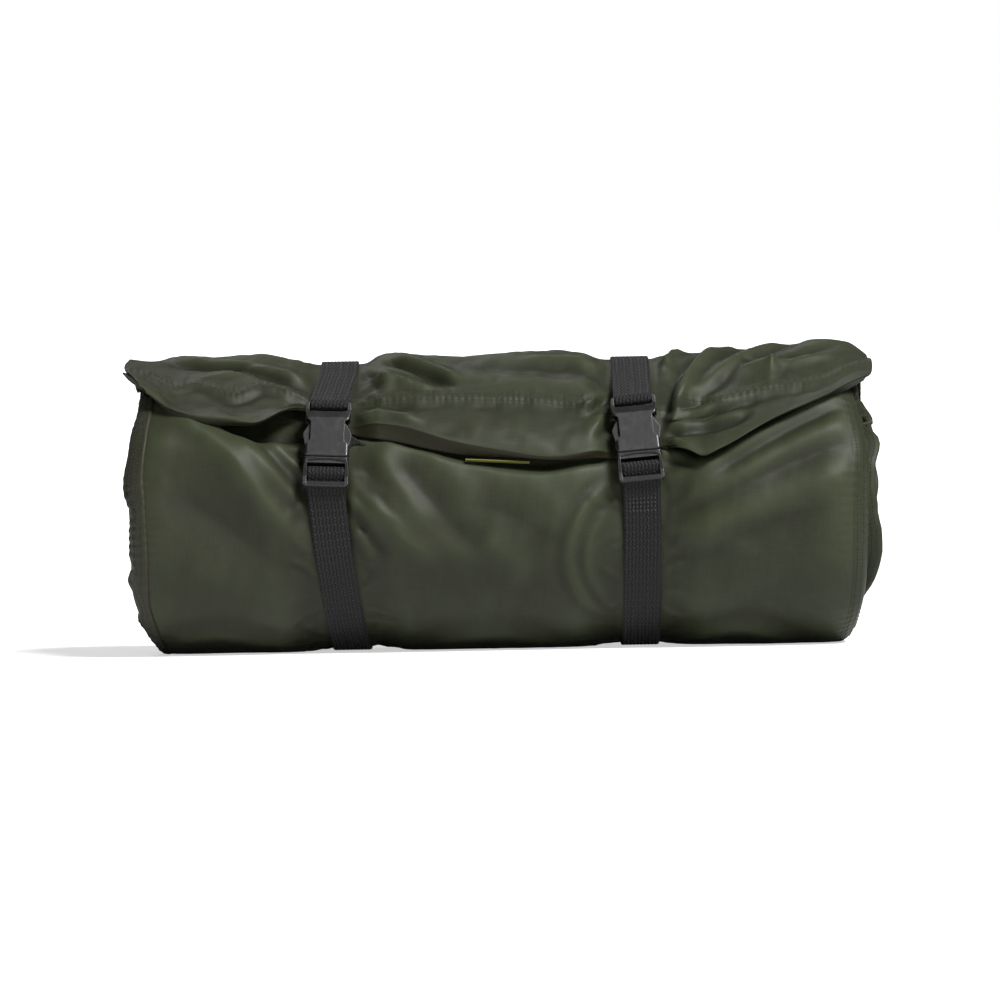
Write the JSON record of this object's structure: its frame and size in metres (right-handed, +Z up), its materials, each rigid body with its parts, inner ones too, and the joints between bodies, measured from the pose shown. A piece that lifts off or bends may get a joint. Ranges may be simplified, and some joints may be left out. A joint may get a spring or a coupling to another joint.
{
  "type": "rolled bivy sack",
  "caption": "Fabric bivy sack rolled into a bundle with a gathered hood flap, held shut by webbing straps with side-release buckles whose latch arms flex inwards.",
  "frame": {"origin": "middle of the flat face that the roll rests on, half way along the outer turn and under the roll's axis", "axes": "+X along the roll, to the right seen from the buckles; +Z up; the buckles and the hood flap's lip face -Y"},
  "size_m": [0.505, 0.2101, 0.2023],
  "materials": {
    "olive_nylon": "soft satin coated weave",
    "dark_olive_nylon": "soft satin coated weave",
    "black_elastic": "matte braid",
    "woven_tape": "matte weave",
    "black_webbing": "ribbed matte weave",
    "grey_thread": "matte thread",
    "black_acetal": "satin moulded"
  },
  "bodies": {
    "bundle": {"outer_turn": "olive_nylon", "floor_sheet_turns": "dark_olive_nylon", "top_sheet_turns": "olive_nylon", "left_hem": "dark_olive_nylon", "right_hem": "dark_olive_nylon", "hood_flap": "olive_nylon", "hood_channel": "olive_nylon", "hood_elastic": "black_elastic", "woven_tab": "woven_tape", "left_strap": "black_webbing", "left_bar_tacks": "grey_thread", "left_socket": "black_acetal", "left_plug": "black_acetal", "right_strap": "black_webbing", "right_bar_tacks": "grey_thread", "right_socket": "black_acetal", "right_plug": "black_acetal"},
    "left_outer_arm": {"left_outer_latch": "black_acetal"},
    "left_inner_arm": {"left_inner_latch": "black_acetal"},
    "right_inner_arm": {"right_inner_latch": "black_acetal"},
    "right_outer_arm": {"right_outer_latch": "black_acetal"}
  },
  "joints": [
    {"name": "left_outer_squeeze", "type": "hinge", "parent": "bundle", "child": "left_outer_arm", "pos_m": [-0.12433, -0.09706, 0.13014], "axis": [0, 0.8988, -0.4384], "range_deg": [0, 10], "stiffness_Nm_per_rad": 0.4},
    {"name": "left_inner_squeeze", "type": "hinge", "parent": "bundle", "child": "left_inner_arm", "pos_m": [-0.11195, -0.09734, 0.12956], "axis": [0, -0.8988, 0.4384], "range_deg": [0, 10], "stiffness_Nm_per_rad": 0.4},
    {"name": "right_inner_squeeze", "type": "hinge", "parent": "bundle", "child": "right_inner_arm", "pos_m": [0.08439, -0.09742, 0.12939], "axis": [0, 0.8988, -0.4384], "range_deg": [0, 10], "stiffness_Nm_per_rad": 0.4},
    {"name": "right_outer_squeeze", "type": "hinge", "parent": "bundle", "child": "right_outer_arm", "pos_m": [0.09674, -0.09695, 0.13036], "axis": [0, -0.8988, 0.4384], "range_deg": [0, 10], "stiffness_Nm_per_rad": 0.4}
  ]
}
